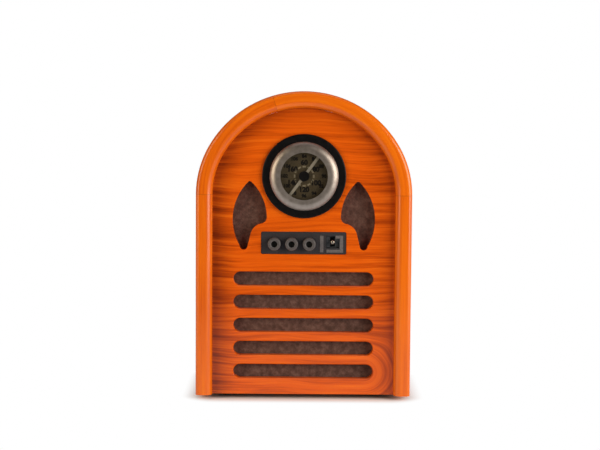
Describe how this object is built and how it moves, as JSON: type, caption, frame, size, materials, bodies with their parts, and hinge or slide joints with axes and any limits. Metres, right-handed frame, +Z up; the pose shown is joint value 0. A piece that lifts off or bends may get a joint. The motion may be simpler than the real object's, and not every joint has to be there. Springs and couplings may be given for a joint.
{
  "type": "tabletop radio",
  "caption": "Round-topped wooden table radio with a ring-tuned dial, cloth-backed slots and leaves, small control knobs, a toggle selector and a full loudspeaker and tuning mechanism inside.",
  "frame": {"origin": "middle of the cabinet's footprint, on the table top under the feet", "axes": "+X to the listener's right, -Y towards the listener, +Z up"},
  "size_m": [0.21, 0.16, 0.3015],
  "materials": {
    "stained_wood": "clear lacquer over orange stain",
    "bare_wood": "bare",
    "black_board": "matt black paint",
    "grille_fabric": "woven loudspeaker cloth",
    "black_plastic": "satin moulded",
    "black_rubber": "matt",
    "satin_aluminium": "turned, satin",
    "clear_lens": "clear moulded",
    "dial_print": "printed matt",
    "pointer_paint": "satin pale paint",
    "grey_plastic": "satin moulded",
    "chrome": "polished",
    "zinc_steel": "zinc plated",
    "black_steel": "stoved black",
    "brass": "turned",
    "copper_wire": "enamelled wire",
    "cone_paper": "pressed paper",
    "ferrite": "sintered",
    "board_laminate": "solder mask",
    "component_case": "shrunk sleeve",
    "nylon": "moulded"
  },
  "bodies": {
    "cabinet": {"aerial_coil": "copper_wire", "aerial_holders": "nylon", "aerial_rod": "ferrite", "baffle_screws": "zinc_steel", "base_board": "bare_wood", "board_capacitors": "component_case", "board_standoffs": "nylon", "bracket_screws": "zinc_steel", "bridge_screws": "zinc_steel", "bridge_spacers": "zinc_steel", "cabinet_shell": "stained_wood", "cleats": "bare_wood", "cone_surround": "black_rubber", "control_bracket": "zinc_steel", "control_nuts": "zinc_steel", "control_plate": "black_plastic", "control_pots": "black_plastic", "dc_inlet": "black_plastic", "dial_bridge": "zinc_steel", "dial_carrier": "black_plastic", "dial_flange": "black_plastic", "dial_plate": "dial_print", "feet": "black_rubber", "flange_nut": "black_plastic", "foot_screws": "zinc_steel", "front_panel": "stained_wood", "front_pole_plate": "zinc_steel", "grille_cloth": "grille_fabric", "inlet_nut": "zinc_steel", "leaf_cloth_left": "grille_fabric", "leaf_cloth_right": "grille_fabric", "magnet": "ferrite", "main_board": "board_laminate", "rear_panel": "black_board", "rear_screws": "zinc_steel", "rear_yoke": "zinc_steel", "selector_switch": "black_plastic", "speaker_baffle": "bare_wood", "speaker_frame": "black_steel", "speaker_screws": "zinc_steel", "spider": "cone_paper", "tuner_can": "zinc_steel", "tuning_capacitor": "black_plastic"},
    "tuning_dial": {"tuning_ring": "satin_aluminium", "ring_retainer": "zinc_steel", "dial_lens": "clear_lens", "pointer": "pointer_paint", "pointer_hub": "black_plastic"},
    "capacitor_rotor": {"capacitor_shaft": "brass", "capacitor_pinion": "brass"},
    "volume_control": {"volume_knob": "grey_plastic", "volume_shaft": "brass"},
    "bass_control": {"bass_knob": "grey_plastic", "bass_shaft": "brass"},
    "treble_control": {"treble_knob": "grey_plastic", "treble_shaft": "brass"},
    "selector": {"selector_lever": "chrome"},
    "speaker_diaphragm": {"speaker_cone": "cone_paper", "dust_cap": "cone_paper", "voice_coil": "copper_wire"}
  },
  "joints": [
    {"name": "tuning_turn", "type": "hinge", "parent": "cabinet", "child": "tuning_dial", "pos_m": [0, -0.075, 0.21912], "axis": [0, 1, 0], "range_deg": [-94, 21]},
    {"name": "capacitor_turn", "type": "hinge", "parent": "cabinet", "child": "capacitor_rotor", "pos_m": [0, -0.044, 0.22912], "axis": [0, 1, 0], "range_deg": [-147, 33]},
    {"name": "volume_turn", "type": "hinge", "parent": "cabinet", "child": "volume_control", "pos_m": [-0.0287, -0.07, 0.15292], "axis": [0, 1, 0], "range_deg": [-150, 150]},
    {"name": "bass_turn", "type": "hinge", "parent": "cabinet", "child": "bass_control", "pos_m": [-0.0118, -0.07, 0.15292], "axis": [0, 1, 0], "range_deg": [-150, 150]},
    {"name": "treble_turn", "type": "hinge", "parent": "cabinet", "child": "treble_control", "pos_m": [0.0054, -0.07, 0.15292], "axis": [0, 1, 0], "range_deg": [-150, 150]},
    {"name": "selector_tip", "type": "hinge", "parent": "cabinet", "child": "selector", "pos_m": [0.0282, -0.0598, 0.15492], "axis": [1, 0, 0], "range_deg": [-12, 12]},
    {"name": "cone_travel", "type": "slide", "parent": "cabinet", "child": "speaker_diaphragm", "axis": [0, 1, 0], "range_m": [-0.0015, 0.0015], "stiffness_N_per_m": 400, "deforming": ["cone_surround", "spider"]}
  ],
  "couplings": [
    {"joint": "capacitor_turn", "follows": "tuning_turn", "ratio": 1.5556}
  ]
}
